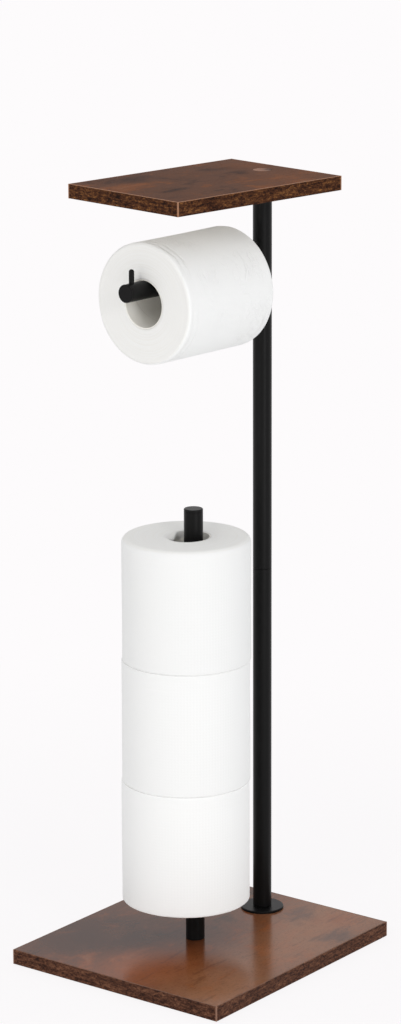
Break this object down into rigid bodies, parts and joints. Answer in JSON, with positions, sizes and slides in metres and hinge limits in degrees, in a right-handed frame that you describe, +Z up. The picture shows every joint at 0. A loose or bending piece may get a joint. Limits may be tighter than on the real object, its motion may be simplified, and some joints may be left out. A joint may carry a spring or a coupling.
{
  "type": "toilet roll storage holder",
  "caption": "Free-standing toilet roll holder: a board base and shelf on a slim steel post, an arm with a peg for the roll in use and a rod that stores spare rolls.",
  "frame": {"origin": "on the floor, under the middle of the base", "axes": "+Z up along the post; -Y is the front; the post stands towards +X and the arm points to -X"},
  "size_m": [0.244, 0.216, 0.663],
  "materials": {
    "board": "satin melamine, dark rustic oak look",
    "edge_band": "satin edging, dark oak look",
    "black_steel": "satin black powder coat",
    "bare_steel": "zinc plated",
    "pad": "matt foam rubber",
    "cover": "matt printed film",
    "paper": "soft embossed tissue",
    "core": "plain card"
  },
  "bodies": {
    "stand": {"base_board": "board", "base_front_band": "edge_band", "base_back_band": "edge_band", "base_left_band": "edge_band", "base_right_band": "edge_band", "foot_pads": "pad", "base_post_screw": "bare_steel", "base_rod_screw": "bare_steel", "post_flange": "black_steel", "post_lower_tube": "black_steel", "post_foot_insert": "bare_steel", "post_joint_insert": "bare_steel", "post_joint_stud": "bare_steel", "post_upper_insert": "bare_steel", "post_upper_tube": "black_steel", "post_head_insert": "bare_steel", "post_head_flange": "black_steel", "shelf_board": "board", "shelf_front_band": "edge_band", "shelf_back_band": "edge_band", "shelf_left_band": "edge_band", "shelf_right_band": "edge_band", "shelf_screw": "bare_steel", "screw_cover": "cover", "arm_tube": "black_steel", "arm_end_cap": "black_steel", "arm_peg": "black_steel", "rod_tube": "black_steel", "rod_foot_insert": "bare_steel", "rod_top_cap": "black_steel", "rod_stop": "black_steel"},
    "hanging_roll": {"hanging_roll_paper": "paper", "hanging_roll_core": "core"},
    "top_roll": {"top_roll_paper": "paper", "top_roll_core": "core"},
    "middle_roll": {"middle_roll_paper": "paper", "middle_roll_core": "core"},
    "bottom_roll": {"bottom_roll_paper": "paper", "bottom_roll_core": "core"}
  },
  "joints": [
    {"name": "hanging_roll_spin", "type": "hinge", "parent": "stand", "child": "hanging_roll", "pos_m": [-0.00951, 0.00607, 0.5718], "axis": [-0.998, 0.0628, 0], "continuous": true},
    {"name": "top_roll_lift", "type": "slide", "parent": "stand", "child": "top_roll", "axis": [0, 0, 1], "range_m": [0, 0.14]},
    {"name": "middle_roll_turn", "type": "hinge", "parent": "stand", "child": "middle_roll", "pos_m": [-0.0115, 0.0068, 0.2102], "axis": [0, 0, 1], "continuous": true},
    {"name": "bottom_roll_turn", "type": "hinge", "parent": "stand", "child": "bottom_roll", "pos_m": [-0.012, 0.0074, 0.1045], "axis": [0, 0, 1], "continuous": true}
  ]
}
